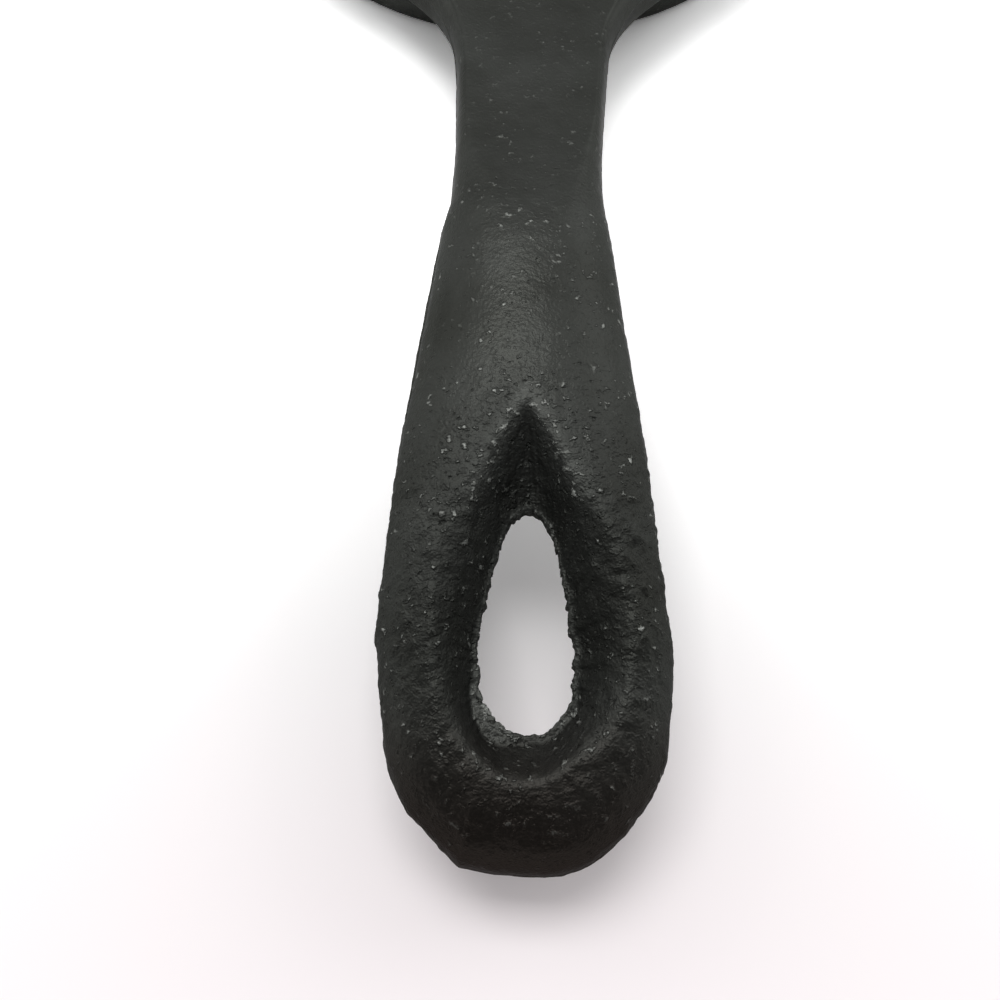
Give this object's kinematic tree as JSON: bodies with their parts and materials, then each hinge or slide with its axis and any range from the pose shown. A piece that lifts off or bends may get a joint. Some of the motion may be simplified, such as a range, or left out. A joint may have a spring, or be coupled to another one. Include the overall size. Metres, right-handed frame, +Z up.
{
  "type": "figure baking pan",
  "caption": "Cast iron baking pan in a gingerbread man outline, with drafted walls, relief on its floor and a swelling handle that ends in a teardrop hang hole.",
  "frame": {"origin": "on the flat underside, below the middle of the belly", "axes": "+Z up, out of the cavity; +Y towards the feet, so the handle points along -Y; +X to the right, seen from above with the handle towards the viewer"},
  "size_m": [0.1642, 0.3305, 0.0224],
  "materials": {
    "iron": "sand cast and seasoned, satin black, rough to the touch"
  },
  "bodies": {
    "root": {"base_plate": "iron", "head_wall": "iron", "left_arm_wall": "iron", "right_arm_wall": "iron", "left_leg_wall": "iron", "right_leg_wall": "iron", "handle_flare": "iron", "handle_neck": "iron", "handle_grip": "iron", "hang_eye": "iron", "left_eye": "iron", "right_eye": "iron", "smile": "iron", "upper_button": "iron", "middle_button": "iron", "lower_button": "iron", "left_cuff": "iron", "right_cuff": "iron", "left_ankle_band": "iron", "right_ankle_band": "iron"}
  },
  "joints": []
}
